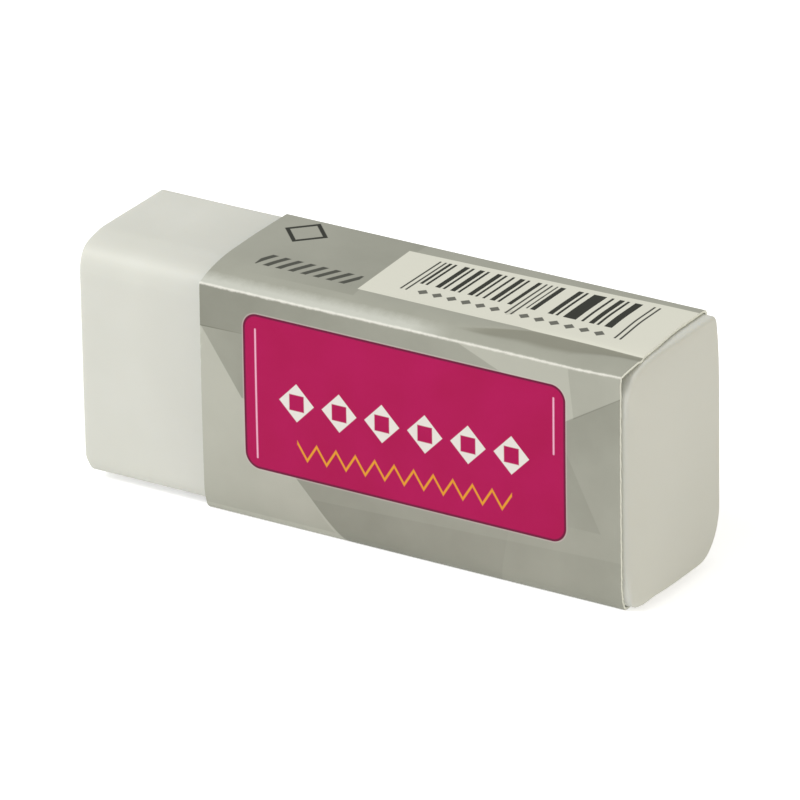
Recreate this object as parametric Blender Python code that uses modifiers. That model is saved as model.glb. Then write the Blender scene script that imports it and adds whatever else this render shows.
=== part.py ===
"""A pencil eraser: a white vinyl block held by friction in a folded card sleeve.

The eraser stands on the sleeve's narrow side. X runs along the block, the wide printed panel faces -Y,
and Z is up. The origin is on the standing face, below the middle of the whole eraser.

The card is one sheet with four folds. It starts at the free edge of the lap panel, which is the standing
face, and bends up round the block's lower front edge into the bowed front panel. At the crease it folds
sharply and slopes up to the round shoulder of the block, with a narrow hollow behind the slope. It lies
flat along the top, goes down the back and ends in the flap, which is tucked in above the lap panel and
held to it by a strip of glue.
"""

import math

import bmesh
import bpy
from mathutils import Vector

MM = 0.001

# Vinyl block
BLOCK_LENGTH = 43.0 * MM
BLOCK_WIDTH = 10.2 * MM
BLOCK_HEIGHT = 16.5 * MM
END_EDGE_RADIUS = 0.5 * MM

# Long edges of the block, each an elliptical round: its run is along Y and its drop along Z
SHOULDER_RUN = 3.4 * MM
SHOULDER_DROP = 2.3 * MM
FRONT_BOTTOM_RUN = 0.9 * MM
FRONT_BOTTOM_DROP = 3.0 * MM
BACK_TOP_RADIUS = 0.9 * MM
BACK_BOTTOM_RADIUS = 2.8 * MM

# Card sleeve
CARD_THICKNESS = 0.25 * MM
SLEEVE_LENGTH = 32.2 * MM
BLOCK_STAND_OUT = 9.7 * MM
SLIDING_CLEARANCE = 0.05 * MM
SHOULDER_SLOPE = math.radians(18.0)
FOLD_RADIUS = 0.35 * MM
CREASE_RADIUS = 0.3 * MM
PANEL_BOW = 0.1 * MM
FLAP_WIDTH = 7.0 * MM
LAP_EDGE_SETBACK = 0.7 * MM

# Glue between the flap and the lap panel
GLUE_THICKNESS = 0.06 * MM
GLUE_WIDTH = 4.5 * MM
GLUE_END_MARGIN = 1.5 * MM
GLUE_CORNER_RADIUS = 1.0 * MM
GLUE_CLEARANCE = 0.02 * MM

# Smoothness of the facets
ARC_STEP = math.radians(9.0)
BOW_STEPS = 9
END_EDGE_SEGMENTS = 4

# Heights and half widths that follow from the sizes above
FLAP_UNDERSIDE = CARD_THICKNESS + GLUE_THICKNESS + 2 * GLUE_CLEARANCE
BLOCK_BOTTOM = FLAP_UNDERSIDE + CARD_THICKNESS + SLIDING_CLEARANCE
BLOCK_TOP = BLOCK_BOTTOM + BLOCK_HEIGHT
CARD_REACH = SLIDING_CLEARANCE + CARD_THICKNESS
SLEEVE_TOP = BLOCK_TOP + CARD_REACH
SLEEVE_HALF_WIDTH = BLOCK_WIDTH / 2 + CARD_REACH
SLEEVE_MIDDLE = -BLOCK_LENGTH / 2 + BLOCK_STAND_OUT + SLEEVE_LENGTH / 2
QUARTER = math.pi / 2


def material(name, colour, roughness, metallic=0.0):
    """A Principled material. The colour is red, green and blue of linear light, each from 0 to 1."""
    made = bpy.data.materials.new(name)
    made.use_nodes = True
    shader = made.node_tree.nodes["Principled BSDF"]
    shader.inputs["Base Color"].default_value = (*colour, 1.0)
    shader.inputs["Roughness"].default_value = roughness
    shader.inputs["Metallic"].default_value = metallic
    made.diffuse_color = (*colour, 1.0)
    return made


def arc(centre, run, drop, start, end):
    """Points of an elliptical arc from angle start to end, measured from the first axis to the second."""
    steps = max(2, math.ceil(abs(end - start) / ARC_STEP - 0.001))
    angles = [start + (end - start) * i / steps for i in range(steps + 1)]
    return [(centre[0] + run * math.cos(a), centre[1] + drop * math.sin(a)) for a in angles]


def fillet(before, corner, after, radius):
    """Points of the arc that rounds a corner between two straight stretches."""
    to_before = (Vector(before) - Vector(corner)).normalized()
    to_after = (Vector(after) - Vector(corner)).normalized()
    half_angle = to_before.angle(to_after) / 2
    centre = Vector(corner) + (to_before + to_after).normalized() * radius / math.sin(half_angle)
    first = Vector(corner) + to_before * radius / math.tan(half_angle) - centre
    start = math.atan2(first.y, first.x)
    turn = math.pi - 2 * half_angle
    side = math.copysign(1.0, to_after.x * to_before.y - to_after.y * to_before.x)
    return arc(centre, radius, radius, start, start + side * turn)


def bowed(start, end):
    """Points between two ends of an upright panel that bulges away from the block, without the ends."""
    outward = math.copysign(PANEL_BOW, start[0])
    points = []
    for i in range(1, BOW_STEPS):
        share = i / BOW_STEPS
        y = start[0] + outward * math.sin(math.pi * share)
        points.append((y, start[1] + (end[1] - start[1]) * share))
    return points


def block_outline():
    """The block's section, anticlockwise from its lower front edge: four rounds joined by straight faces."""
    half = BLOCK_WIDTH / 2
    outline = []
    for side, level, run, drop, start in (
        (-half, BLOCK_BOTTOM, FRONT_BOTTOM_RUN, FRONT_BOTTOM_DROP, 2 * QUARTER),
        (half, BLOCK_BOTTOM, BACK_BOTTOM_RADIUS, BACK_BOTTOM_RADIUS, 3 * QUARTER),
        (half, BLOCK_TOP, BACK_TOP_RADIUS, BACK_TOP_RADIUS, 0.0),
        (-half, BLOCK_TOP, SHOULDER_RUN, SHOULDER_DROP, QUARTER),
    ):
        centre_y = side - math.copysign(run, side)
        centre_z = level + (drop if level == BLOCK_BOTTOM else -drop)
        outline += arc((centre_y, centre_z), run, drop, start, start + QUARTER)
    return outline


def shoulder_card():
    """The card over the block's shoulder, from where it leaves the round up to the flat top, and the crease.

    The card follows the round at its reach. It leaves it where it slopes by SHOULDER_SLOPE and goes
    straight on to the crease, in the plane of the front panel.
    """
    centre = Vector((-BLOCK_WIDTH / 2 + SHOULDER_RUN, BLOCK_TOP - SHOULDER_DROP))
    leave = math.atan(math.tan(SHOULDER_SLOPE) * SHOULDER_RUN / SHOULDER_DROP)
    points = []
    for y, z in arc((0.0, 0.0), SHOULDER_RUN, SHOULDER_DROP, QUARTER + leave, QUARTER):
        normal = Vector((y / SHOULDER_RUN**2, z / SHOULDER_DROP**2)).normalized()
        points.append(tuple(centre + Vector((y, z)) + normal * CARD_REACH))
    run = points[0][0] + SLEEVE_HALF_WIDTH
    crease = (-SLEEVE_HALF_WIDTH, points[0][1] - run * math.tan(SHOULDER_SLOPE))
    return points, crease


def sleeve_outline():
    """The card's outer surface in section, from the lap panel's free edge round to the flap's free edge."""
    half = SLEEVE_HALF_WIDTH
    over_shoulder, crease = shoulder_card()
    round_run = FRONT_BOTTOM_RUN + CARD_REACH
    round_drop = FRONT_BOTTOM_DROP + BLOCK_BOTTOM
    back_top = (half, SLEEVE_TOP)
    back_bottom = (half, FLAP_UNDERSIDE)
    flap_edge = (half - FLAP_WIDTH, FLAP_UNDERSIDE)
    front = bowed((-half, round_drop), (-half, crease[1] - CREASE_RADIUS))
    back = bowed((half, SLEEVE_TOP - FOLD_RADIUS), (half, FLAP_UNDERSIDE + FOLD_RADIUS))
    return [
        (half - LAP_EDGE_SETBACK, 0.0),
        *arc((-half + round_run, round_drop), round_run, round_drop, 3 * QUARTER, 2 * QUARTER),
        *front,
        *fillet(front[-1], crease, over_shoulder[0], CREASE_RADIUS),
        *over_shoulder,
        *fillet(over_shoulder[-1], back_top, back[0], FOLD_RADIUS),
        *back,
        *fillet(back[-1], back_bottom, flap_edge, FOLD_RADIUS),
        flap_edge,
    ]


def add_solidify(target, thickness, offset):
    """Gives a flat face or a sheet its thickness."""
    modifier = target.modifiers.new("Thickness", "SOLIDIFY")
    modifier.thickness = thickness
    modifier.offset = offset
    modifier.use_even_offset = True


def add_bevel(target, width, segments):
    """Rounds the edges where faces meet at a sharp angle."""
    modifier = target.modifiers.new("Round edges", "BEVEL")
    modifier.width = width
    modifier.segments = segments
    modifier.limit_method = "ANGLE"
    modifier.angle_limit = math.radians(45.0)
    modifier.harden_normals = True


def place(name, data, collection, finish, location):
    """Makes an object of a mesh or a curve, with its material, at a location."""
    data.materials.append(finish)
    made = bpy.data.objects.new(name, data)
    made.location = location
    collection.objects.link(made)
    return made


def flat_face(name, corners):
    """A mesh of one flat face with the given corners."""
    shape = bmesh.new()
    shape.faces.new([shape.verts.new(corner) for corner in corners])
    mesh = bpy.data.meshes.new(name)
    shape.to_mesh(mesh)
    shape.free()
    mesh.shade_smooth()
    return mesh


def make_block(collection, finish):
    """The vinyl block: its section made as thick as the block is long, with rounded ends.

    Its origin is in the middle of the block, on the line along which it slides.
    """
    middle = (BLOCK_BOTTOM + BLOCK_TOP) / 2
    section = flat_face("eraser_block", [(0.0, y, z - middle) for y, z in block_outline()])
    block = place("eraser_block", section, collection, finish, (0.0, 0.0, middle))
    add_solidify(block, BLOCK_LENGTH, 0.0)
    add_bevel(block, END_EDGE_RADIUS, END_EDGE_SEGMENTS)


def make_sleeve(collection, finish):
    """The card sleeve: its outline as an open curve, drawn out along X and given the card's thickness."""
    sheet = bpy.data.curves.new("card_sleeve", "CURVE")
    sheet.dimensions = "2D"
    sheet.fill_mode = "NONE"
    sheet.extrude = SLEEVE_LENGTH / 2
    outline = sleeve_outline()
    line = sheet.splines.new("POLY")
    line.points.add(len(outline) - 1)
    for point, (y, z) in zip(line.points, outline):
        point.co = (y, z, 0.0, 1.0)
    sleeve = place("card_sleeve", sheet, collection, finish, (SLEEVE_MIDDLE, 0.0, 0.0))
    sleeve.rotation_euler = (QUARTER, 0.0, QUARTER)
    add_solidify(sleeve, CARD_THICKNESS, -1.0)


def make_glue(collection, finish):
    """The strip of glue between the flap and the lap panel, with round corners."""
    half_length = SLEEVE_LENGTH / 2 - GLUE_END_MARGIN - GLUE_CORNER_RADIUS
    half_width = GLUE_WIDTH / 2 - GLUE_CORNER_RADIUS
    corners = []
    for quarter, (side_x, side_y) in enumerate(((1, 1), (-1, 1), (-1, -1), (1, -1))):
        centre = (side_x * half_length, side_y * half_width)
        start = quarter * QUARTER
        corners += arc(centre, GLUE_CORNER_RADIUS, GLUE_CORNER_RADIUS, start, start + QUARTER)
    middle_y = SLEEVE_HALF_WIDTH - (FLAP_WIDTH + LAP_EDGE_SETBACK) / 2
    middle_z = (CARD_THICKNESS + FLAP_UNDERSIDE) / 2
    strip = flat_face("glue_strip", [(x, y, 0.0) for x, y in corners])
    glue = place("glue_strip", strip, collection, finish, (SLEEVE_MIDDLE, middle_y, middle_z))
    add_solidify(glue, GLUE_THICKNESS, 0.0)


def main():
    for old in list(bpy.data.objects):
        bpy.data.objects.remove(old)
    collection = bpy.data.collections.new("eraser")
    bpy.context.scene.collection.children.link(collection)
    make_block(collection, material("white_vinyl", (0.68, 0.68, 0.63), 0.55))
    make_sleeve(collection, material("silver_printed_card", (0.36, 0.37, 0.31), 0.42, 0.35))
    make_glue(collection, material("dried_glue", (0.74, 0.71, 0.62), 0.4))


main()
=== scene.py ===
# %% [markdown]
# # A white eraser in its printed card sleeve
#
# The real object is a block of white vinyl in a sleeve of thin card, folded from one printed sheet.
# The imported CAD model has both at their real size, with the slide joint between them. This lesson gives
# them their looks: a soft, slightly uneven block, and a card whose folds, cut edges and print are those
# of a handled eraser. Everything here is in the frame of the CAD model, so nothing has to be fitted.

# %% Load the CAD model
import functools
import math

import bpy
import numpy as np
from mathutils import Matrix, Vector


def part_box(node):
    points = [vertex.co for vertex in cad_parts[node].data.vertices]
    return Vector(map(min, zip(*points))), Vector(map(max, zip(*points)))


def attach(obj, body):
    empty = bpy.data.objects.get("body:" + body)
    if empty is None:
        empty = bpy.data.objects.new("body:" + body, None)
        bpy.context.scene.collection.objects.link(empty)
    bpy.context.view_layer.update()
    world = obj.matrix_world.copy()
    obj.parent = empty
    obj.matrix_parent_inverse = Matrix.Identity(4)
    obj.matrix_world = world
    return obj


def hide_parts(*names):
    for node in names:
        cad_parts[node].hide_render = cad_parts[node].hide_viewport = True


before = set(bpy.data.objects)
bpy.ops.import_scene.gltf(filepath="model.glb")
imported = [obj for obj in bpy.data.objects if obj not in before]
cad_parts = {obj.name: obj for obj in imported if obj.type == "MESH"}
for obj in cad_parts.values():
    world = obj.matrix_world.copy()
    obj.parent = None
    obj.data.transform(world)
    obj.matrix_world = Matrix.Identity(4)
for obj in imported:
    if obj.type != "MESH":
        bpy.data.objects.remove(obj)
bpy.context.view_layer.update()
MM = 0.001
block_low, block_high = (np.array(corner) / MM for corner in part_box("eraser_block"))
sleeve_low, sleeve_high = (np.array(corner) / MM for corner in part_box("card_sleeve"))
print("block from", block_low.round(2), "to", block_high.round(2), "mm")
print("sleeve from", sleeve_low.round(2), "to", sleeve_high.round(2), "mm")

# %% [markdown]
# ## The helpers
#
# Both pieces are surfaces worked out as arrays: a section in the YZ plane is carried along X. So the
# lesson needs arcs and straight stretches of points, a rule that joins a grid of points with faces, and
# a function that makes a mesh of them. Lengths are in millimetres until the mesh is made.


# %% Points along a section
def stretch(start, end, count):
    """Straight stretch: start plus a growing share of the way to end, which is left out."""
    start, end = np.broadcast_arrays(np.asarray(start, float), np.asarray(end, float))
    share = np.arange(count)[:, None] / count
    return start[..., None, :] + share * (end - start)[..., None, :]


def bend(centre, radii, first, last, count):
    """Elliptical arc: centre plus radii times cosine and sine of angles in degrees, the last left out."""
    angle = np.radians(first + (last - first) * np.arange(count) / count)
    turned = np.stack([radii[0] * np.cos(angle), radii[1] * np.sin(angle)], axis=-1)
    return np.asarray(centre, float)[..., None, :] + turned


def sweep(start, pull, end, count):
    """Quadratic Bezier from start to end, drawn towards pull: (1-t)^2 start + 2t(1-t) pull + t^2 end."""
    t = np.arange(count)[:, None] / count
    start, pull, end = (point[..., None, :] for point in (start, pull, end))
    return (1 - t) ** 2 * start + 2 * t * (1 - t) * pull + t**2 * end


def ease(value, low, high):
    """Smooth step: 0 below low, 1 above high, and 3 t squared minus 2 t cubed between them."""
    share = np.clip((np.asarray(value, float) - low) / (high - low), 0.0, 1.0)
    return share * share * (3.0 - 2.0 * share)


def rise_and_fall(value, rise_from, rise_to, fall_from, fall_to):
    """Smooth hill: an ease up over the first span, times one minus an ease over the second."""
    return ease(value, rise_from, rise_to) * (1 - ease(value, fall_from, fall_to))


def grid_faces(rows, columns):
    """Quads of a grid whose last column meets its first: each joins a point to the next both ways."""
    index = np.arange(rows * columns).reshape(rows, columns)
    index = np.hstack([index, index[:, :1]])
    corners = [index[:-1, :-1], index[:-1, 1:], index[1:, 1:], index[1:, :-1]]
    return np.stack(corners, axis=-1).reshape(-1, 4).tolist()


# %% Meshes from arrays
def make_piece(name, points, faces, sharp_angle):
    """A mesh object of points in millimetres, smooth where faces meet below the sharp angle in degrees.

    It prints the enclosed volume, a sixth of the sum over triangles of corner . (corner x corner),
    which is positive only if the faces point outwards.
    """
    mesh = bpy.data.meshes.new(name)
    mesh.from_pydata((points * MM).tolist(), [], faces)
    mesh.update()
    mesh.shade_smooth()
    mesh.set_sharp_from_angle(angle=math.radians(sharp_angle))
    piece = bpy.data.objects.new(name, mesh)
    bpy.context.scene.collection.objects.link(piece)
    mesh.calc_loop_triangles()
    corners = np.zeros(3 * len(mesh.loop_triangles), np.int32)
    mesh.loop_triangles.foreach_get("vertices", corners)
    triangles = points[corners.reshape(-1, 3)]
    volume = np.einsum("ij,ij->i", triangles[:, 0], np.cross(triangles[:, 1], triangles[:, 2])).sum() / 6
    print(name, len(triangles), "triangles, volume", round(float(volume), 1), "cubic mm")
    return piece


def add_point_values(piece, name, values):
    """Stores one vector for each point of a mesh, for its material to read."""
    attribute = piece.data.attributes.new(name, "FLOAT_VECTOR", "POINT")
    attribute.data.foreach_set("vector", np.asarray(values, np.float32).ravel())


# %% [markdown]
# ## Colours, nodes and formulas
#
# Colours are written as they look on a screen, as sRGB hex values, and one function turns them into
# the linear light that a shader needs. One more function adds any node with its settings and links.
# The print is drawn by formulas. Written node by node they would be hard to read, so a number that the
# shader works out at each point is kept as a measure, which is added and multiplied like any number.


# %% Colour and node helpers
def linear(colour):
    """sRGB hex to linear light: a straight line below 0.04045, and a power of 2.4 above it."""
    values = np.array([int(colour[i : i + 2], 16) for i in (1, 3, 5)]) / 255.0
    light = np.where(values <= 0.04045, values / 12.92, ((values + 0.055) / 1.055) ** 2.4)
    return (*light.tolist(), 1.0)


def connect(tree, node, inputs):
    """Gives each input of a node, by its name or number, a value or another node's output to link."""
    for key, value in inputs.items():
        if isinstance(value, bpy.types.NodeSocket):
            tree.links.new(value, node.inputs[key])
        else:
            node.inputs[key].default_value = value


def add_node(tree, kind, inputs=None, **settings):
    """Adds a node of a kind, with its settings and with the values and links of its inputs."""
    node = tree.nodes.new(kind)
    for name, value in settings.items():
        setattr(node, name, value)
    connect(tree, node, inputs or {})
    return node


def new_material(name):
    """A material with an empty Principled shader; gives the material, its tree and the shader."""
    made = bpy.data.materials.new(name)
    made.use_nodes = True
    return made, made.node_tree, made.node_tree.nodes["Principled BSDF"]


# %% Measures
class Measure:
    """A number that a shader works out at each point, such as a distance in mm or a share from 0 to 1."""

    def __init__(self, tree, socket):
        self.tree = tree
        self.socket = socket

    def step(self, operation, other=None, **settings):
        """The measure after one operation of Blender's Math node, with another measure or number."""
        inputs = {0: self.socket}
        if other is not None:
            inputs[1] = getattr(other, "socket", other)
        node = add_node(self.tree, "ShaderNodeMath", inputs, operation=operation, **settings)
        return Measure(self.tree, node.outputs[0])

    def __add__(self, other):
        return self.step("ADD", other)

    __radd__ = __add__

    def __sub__(self, other):
        return self.step("SUBTRACT", other)

    def __mul__(self, other):
        return self.step("MULTIPLY", other)

    def __abs__(self):
        return self.step("ABSOLUTE")

    def share(self, start, end):
        """(measure - start) / (end - start), held between 0 and 1."""
        return self.step("SUBTRACT", start).step("DIVIDE", end - start, use_clamp=True)


def least(*measures):
    """The least of several measures, which for distances from shapes is the distance from them all."""
    return functools.reduce(lambda one, other: one.step("MINIMUM", other), measures)


def greatest(*measures):
    """The greatest of several measures, which for shapes is the distance from what they share."""
    return functools.reduce(lambda one, other: one.step("MAXIMUM", other), measures)


# %% Colours laid over one another
# The Mix node has a pair of sockets for each kind of value, and these are the numbers of its colours.
UNDER_SOCKET = 6
OVER_SOCKET = 7
COLOUR_SOCKET = 2


def lay_over(tree, under, over, share):
    """One colour covered by a share of another: under * (1 - share) + over * share.

    A colour is a hex value or what another node gives, and the share is a measure or a number.
    """
    under, over = (linear(colour) if isinstance(colour, str) else colour for colour in (under, over))
    inputs = {"Factor": getattr(share, "socket", share), UNDER_SOCKET: under, OVER_SOCKET: over}
    return add_node(tree, "ShaderNodeMix", inputs, data_type="RGBA").outputs[COLOUR_SOCKET]


# %% [markdown]
# ## The section of the block
#
# The block was cut from a pressed strip. Two opposite long edges are well rounded, the others only
# broken, the broad sides bulge a little and the top falls towards the front. A bevelled cube would round
# all edges alike, so the section is one loop of points instead, with an arc for each edge. The sleeve
# uses the same numbers, so the card lies on the vinyl.

# %% Sizes of the block, mm
BLOCK_SWELL = 0.1
BOTTOM_SWELL = 0.05
SHOULDER_RUN = 3.3
SHOULDER_DROP = 2.25
SHOULDER_FULLNESS = 0.2
FULLNESS_SPAN = (0.152, 0.952)
FULLNESS_WAY = (-0.56, 0.83)
FRONT_BOTTOM_RUN = 0.4
FRONT_BOTTOM_DROP = 1.1
BACK_TOP_RADIUS = 0.4
BACK_BOTTOM_RUN = 2.8
BACK_BOTTOM_DROP = 3.3
TOP_FALL = 0.25
SIDE_BOW = 0.05
BOW_SPAN = (2.2, 16.1)
END_ROUND = 0.24

half_block = block_high[1] + BLOCK_SWELL
block_bottom, block_top = block_low[2] - BOTTOM_SWELL, block_high[2]
block_start, block_end = block_low[0], block_high[0]
print("block section", round(float(2 * half_block), 2), "by", round(float(block_top - block_bottom), 2), "mm")


# %% Line of the block's section
LOWER_ARC_POINTS = 28
BOTTOM_POINTS = 16
BACK_POINTS = 36
BACK_TOP_POINTS = 12
TOP_POINTS = 20
SHOULDER_POINTS = 36
FRONT_FACE_POINTS = 34


def top_fall(y):
    """How far the top lies below its highest line: TOP_FALL times the share of the way to the front."""
    return TOP_FALL * np.clip((half_block - BACK_TOP_RADIUS - y) / (2 * half_block), 0.0, 1.0)


def side_bow(z):
    """How far the broad sides bulge: SIDE_BOW times the sine of the share of the height of BOW_SPAN."""
    return SIDE_BOW * np.sin(np.pi * np.clip((z - BOW_SPAN[0]) / (BOW_SPAN[1] - BOW_SPAN[0]), 0.0, 1.0))


def round_shoulder(centre):
    """The top front arc: an ellipse, fuller by a sine squared over FULLNESS_SPAN of its points."""
    arc = bend(centre, (SHOULDER_RUN, SHOULDER_DROP), 90, 180, SHOULDER_POINTS)
    share = np.arange(SHOULDER_POINTS) / SHOULDER_POINTS
    in_span = np.clip((share - FULLNESS_SPAN[0]) / (FULLNESS_SPAN[1] - FULLNESS_SPAN[0]), 0.0, 1.0)
    return arc + SHOULDER_FULLNESS * np.sin(np.pi * in_span)[:, None] ** 2 * FULLNESS_WAY


def block_section():
    """The closed loop of the section in Y and Z, anticlockwise seen from +X: four arcs and four stretches.

    The loop is lowered by the fall of the top times the fourth power of the share of the height, and
    bulges at the sides by the bow times the fourth power of the share of the half width.
    """
    right, left, low, high = half_block, -half_block, block_bottom, block_top
    front_low = (left + FRONT_BOTTOM_RUN, low + FRONT_BOTTOM_DROP)
    back_low = (right - BACK_BOTTOM_RUN, low + BACK_BOTTOM_DROP)
    back_high = (right - BACK_TOP_RADIUS, high - BACK_TOP_RADIUS)
    front_high = (left + SHOULDER_RUN, high - SHOULDER_DROP)
    loop = np.vstack([
        bend(front_low, (FRONT_BOTTOM_RUN, FRONT_BOTTOM_DROP), 180, 270, LOWER_ARC_POINTS),
        stretch((front_low[0], low), (back_low[0], low), BOTTOM_POINTS),
        bend(back_low, (BACK_BOTTOM_RUN, BACK_BOTTOM_DROP), 270, 360, LOWER_ARC_POINTS),
        stretch((right, back_low[1]), (right, back_high[1]), BACK_POINTS),
        bend(back_high, (BACK_TOP_RADIUS, BACK_TOP_RADIUS), 0, 90, BACK_TOP_POINTS),
        stretch((back_high[0], high), (front_high[0], high), TOP_POINTS),
        round_shoulder(front_high),
        stretch((left, front_high[1]), (left, front_low[1]), FRONT_FACE_POINTS),
    ])
    height = (loop[:, 1] - block_bottom) / (block_top - block_bottom)
    loop[:, 0] += np.sign(loop[:, 0]) * side_bow(loop[:, 1]) * (loop[:, 0] / half_block) ** 4
    loop[:, 1] -= top_fall(loop[:, 0]) * height**4
    return loop


# %% [markdown]
# ## The vinyl block
#
# The block is the section carried along X. At each end the section shrinks towards its middle along a
# quarter circle, which rounds the cut edge, and then closes over a face that isn't quite flat. The knife
# wasn't square to the strip either: at the right-hand end the front and top edges lie further back.
# Vinyl shrinks unevenly as it cools, so the sides wave by some hundredths of a millimetre. All of it
# could be sculpted by hand, but as formulas each lean keeps its size and can be changed by itself.

# %% Sizes along the block
BODY_STATIONS = 110
ROUND_STATIONS = 6
CAP_RINGS = 14
FACE_DOME = 0.06
SIDE_WAVE = 0.006


def block_stations():
    """Places along X with the inset and share of the section: cap, quarter round, body, and back again."""
    half_length = (block_end - block_start) / 2
    turn = np.linspace(0, np.pi / 2, ROUND_STATIONS + 1)
    cap = np.linspace(0.0, 1.0, CAP_RINGS + 1)[1:-1]
    cap_x = np.full(cap.shape, half_length)
    cap_inset = np.full(cap.shape, END_ROUND)
    round_x = half_length - END_ROUND * (1 - np.cos(turn))
    round_inset = END_ROUND * (1 - np.sin(turn))
    body_x = np.linspace(-round_x[-1], round_x[-1], BODY_STATIONS)[1:-1]
    x = np.concatenate([-cap_x, -round_x, body_x, round_x[::-1], cap_x])
    insets = np.concatenate([cap_inset, round_inset, np.zeros(body_x.shape), round_inset[::-1], cap_inset])
    shares = np.concatenate([cap, np.ones(2 * len(turn) + len(body_x)), cap[::-1]])
    return x, insets, shares


# %% Ends that aren't square
END_REACH = 2.5
RIGHT_FRONT_LEAN = 0.47
RIGHT_FRONT_FADE = (-0.3, 0.1)
RIGHT_EDGE_LEAN = 0.32
RIGHT_EDGE_SPAN = (0.0, 0.15, 0.75, 0.9)
RIGHT_TOP_LEAN = 0.5
RIGHT_BOTTOM_LEAN = 0.37
RIGHT_BACK_LEAN = 0.08
LEFT_CORNER_LEAN = 0.3
LEFT_CORNER_FADE = (0.07, 0.0)
LEFT_TOP_REACH = 0.25
SAG = 0.3
SAG_ALONG = (8.0, 20.0)
SAG_ACROSS = (3.0, 4.8)


def lean_ends(points):
    """Moves the ends along X by each lean times powers of the shares of the way to front and top.

    The higher the power, the closer the lean keeps to its edge. Inside the sleeve the front bottom edge
    also sags onto the lap panel, beside the flap, by SAG times the sixth power of the share of the drop.
    """
    x, y, z = (points[..., axis] for axis in range(3))
    front = np.clip((half_block - y) / (2 * half_block), 0.0, 1.0)
    height = np.clip((z - block_bottom) / (block_top - block_bottom), 0.0, 1.0)
    right = RIGHT_FRONT_LEAN * front**7 * ease(height, *RIGHT_FRONT_FADE)
    right += RIGHT_EDGE_LEAN * front**12 * rise_and_fall(height, *RIGHT_EDGE_SPAN)
    right += RIGHT_TOP_LEAN * height**9 * (0.5 + 0.5 * front) * (1 - 0.5 * front**6)
    right -= RIGHT_BOTTOM_LEAN * (1 - height) ** 5 * (0.3 + 0.7 * front) * (1 - front**9)
    right += RIGHT_BACK_LEAN * (1 - front) ** 3 * (1 - height) ** 2
    left = LEFT_CORNER_LEAN * front**4 * ease(height, *LEFT_CORNER_FADE) - LEFT_TOP_REACH * height**14
    moved = points.copy()
    moved[..., 0] -= right * ease(x, block_end - END_REACH, block_end - END_ROUND)
    moved[..., 0] += left * ease(-x, -block_start - END_REACH, -block_start - END_ROUND)
    moved[..., 2] -= SAG * ease(x, *SAG_ALONG) * ease(-y, *SAG_ACROSS) * (1 - height) ** 6
    return moved


# %% Make the block
def make_block():
    """The block's grid: middle + (section - middle) * share * (1 - inset / half size), at each station.

    The end faces dome inwards as one minus the square of the share of each half size. The sides wave
    outwards by the sum of two sines of the place along X, one also of the height, one of the depth.
    """
    section = block_section()
    x, insets, shares = block_stations()
    middle = np.array([0.0, (block_bottom + block_top) / 2])
    half_size = np.array([half_block, (block_top - block_bottom) / 2])
    scale = shares[:, None, None] * (1 - insets[:, None, None] / half_size)
    flat = middle + (section - middle) * scale
    points = np.empty((len(x), len(section), 3))
    points[..., 0] = x[:, None]
    points[..., 1:] = flat
    y, z = points[..., 1], points[..., 2]
    dome = FACE_DOME * (1 - (y / half_block) ** 2) * (1 - ((z - middle[1]) / half_size[1]) ** 2)
    on_cap = (shares < 1.0)[:, None]
    points[..., 0] -= np.where(on_cap, np.sign(x)[:, None] * dome, 0.0)
    along = points[..., 0]
    wave = SIDE_WAVE * (np.sin(0.55 * along + 0.4 * z) + np.sin(0.31 * along - 0.7 * y + 1.3))
    outward = flat - middle
    outward = outward / np.linalg.norm(outward, axis=-1, keepdims=True).clip(1e-6)
    points[..., 1:] += np.where(on_cap[..., None], 0.0, (wave[..., None] - 2 * SIDE_WAVE) * outward)
    poles = np.array([[points[0, 0, 0], *middle], [points[-1, 0, 0], *middle]])
    rows, columns = points.shape[:2]
    faces = grid_faces(rows, columns)
    ring = np.arange(columns)
    following = np.roll(ring, -1)
    last_row = (rows - 1) * columns
    pole = rows * columns
    faces += np.stack([following, ring, np.full(columns, pole)], axis=-1).tolist()
    faces += np.stack([last_row + ring, last_row + following, np.full(columns, pole + 1)], axis=-1).tolist()
    return make_piece("vinyl_block", lean_ends(np.vstack([points.reshape(-1, 3), poles])), faces, 50)


vinyl_block = make_block()
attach(vinyl_block, "block")
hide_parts("eraser_block")

# %% [markdown]
# ## White vinyl
#
# The block is plasticised PVC filled with chalk, pressed and cut. That gives a matt, faintly waxy white
# that light enters a little, so edges look soft, with a very fine grain from the filler. The colour
# drifts by about one step over some millimetres, and towards the sleeve it is greyed by painted shade.
# A picture could hold all that, but two noises in real sizes do it on every side with no seam.

# %% Material of the block
VINYL_WHITE = "#DBDCD4"
VINYL_SHADE = "#D6D7CE"
DRIFT_SIZE = 9.0
DRIFT_SPAN = (0.35, 0.7)
GRAIN_SIZE = 0.16
GRAIN_DEPTH = 0.02
# Painted shade: the grey, the span along the block in mm over which it grows, and its greatest share.
VINYL_PAINTED_SHADE = "#C9CAC3"
VINYL_SHADE_SPAN = (-17.0, -11.5)
VINYL_SHADE_MOST = 0.55


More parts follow.
